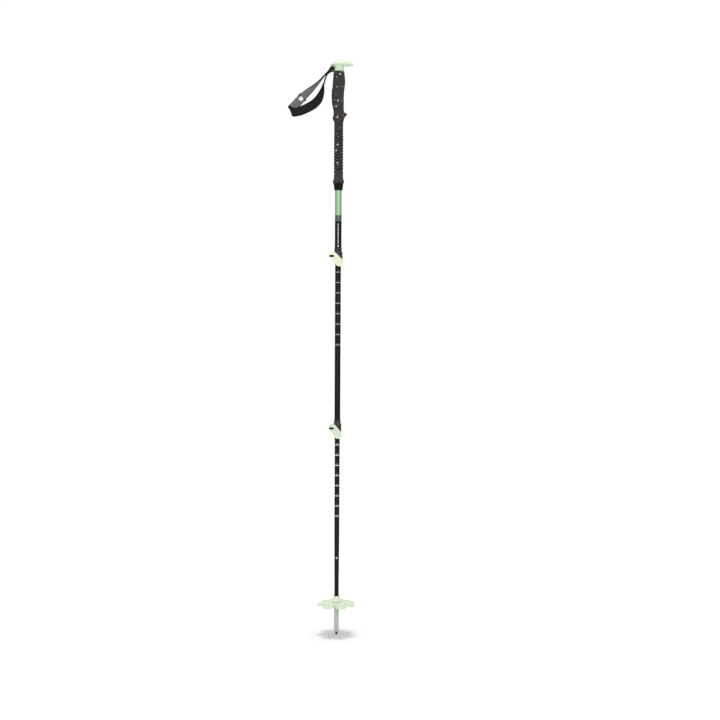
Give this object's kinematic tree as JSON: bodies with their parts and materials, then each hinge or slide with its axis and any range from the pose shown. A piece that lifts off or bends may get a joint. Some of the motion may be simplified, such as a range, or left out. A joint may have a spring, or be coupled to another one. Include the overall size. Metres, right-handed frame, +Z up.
{
  "type": "telescoping ski pole",
  "caption": "Telescoping ski pole with cam-lever locks, a shaped foam grip with a palm cap, a padded wrist strap, a petal powder basket and a flex tip with a carbide point.",
  "frame": {"origin": "centre of the flat end of the carbide tip, which touches the ground", "axes": "+Z up the shaft to the palm cap; +X is the side that the cap's nose points to, away from the strap; -Y is the side that the lock levers lie on"},
  "size_m": [0.1695, 0.0949, 1.4003],
  "materials": {
    "cap_plastic": "satin",
    "lever_plastic": "satin",
    "basket_plastic": "satin",
    "ferrule_plastic": "satin",
    "grip_foam": "matte",
    "black_rubber": "matte",
    "lock_plastic": "satin",
    "black_tube": "satin",
    "bush_plastic": "matte",
    "steel": "satin",
    "carbide": "satin",
    "grey_webbing": "matte",
    "black_padding": "matte"
  },
  "bodies": {
    "upper_section": {"grip_head": "cap_plastic", "grip_foam": "grip_foam", "grip_extension": "grip_foam", "extension_end_cap": "black_rubber", "strap_anchor": "lock_plastic", "strap_pin": "steel", "upper_shaft": "black_tube", "upper_lock_collar": "lock_plastic", "upper_lock_sleeve": "bush_plastic", "upper_lock_bolt": "steel", "upper_lock_washer": "steel", "upper_lock_barrel": "steel"},
    "upper_lever": {"upper_lock_lever": "lever_plastic"},
    "middle_section": {"middle_shaft": "black_tube", "middle_shaft_plug": "bush_plastic", "lower_lock_collar": "lock_plastic", "lower_lock_sleeve": "bush_plastic", "lower_lock_bolt": "steel", "lower_lock_washer": "steel", "lower_lock_barrel": "steel"},
    "lower_lever": {"lower_lock_lever": "lever_plastic"},
    "lower_section": {"lower_shaft": "black_tube", "lower_shaft_plug": "bush_plastic", "tip_ferrule": "ferrule_plastic", "carbide_tip": "carbide", "basket": "basket_plastic", "basket_hub": "basket_plastic"},
    "strap": {"strap_webbing": "grey_webbing", "strap_pad": "black_padding", "strap_slider": "lock_plastic"}
  },
  "joints": [
    {"name": "middle_slide", "type": "slide", "parent": "upper_section", "child": "middle_section", "axis": [0, 0, 1], "range_m": [0, 0.375]},
    {"name": "lower_slide", "type": "slide", "parent": "middle_section", "child": "lower_section", "axis": [0, 0, 1], "range_m": [0, 0.375]},
    {"name": "upper_lever_hinge", "type": "hinge", "parent": "upper_section", "child": "upper_lever", "pos_m": [-0.0147, -0.0109, 0.9319], "axis": [0, 0, -1], "range_deg": [0, 110]},
    {"name": "lower_lever_hinge", "type": "hinge", "parent": "middle_section", "child": "lower_lever", "pos_m": [-0.0137, -0.0104, 0.5142], "axis": [0, 0, -1], "range_deg": [0, 110]},
    {"name": "strap_swing", "type": "hinge", "parent": "upper_section", "child": "strap", "pos_m": [-0.0182, 0, 1.377], "axis": [0, 1, 0], "range_deg": [-12, 65]}
  ]
}
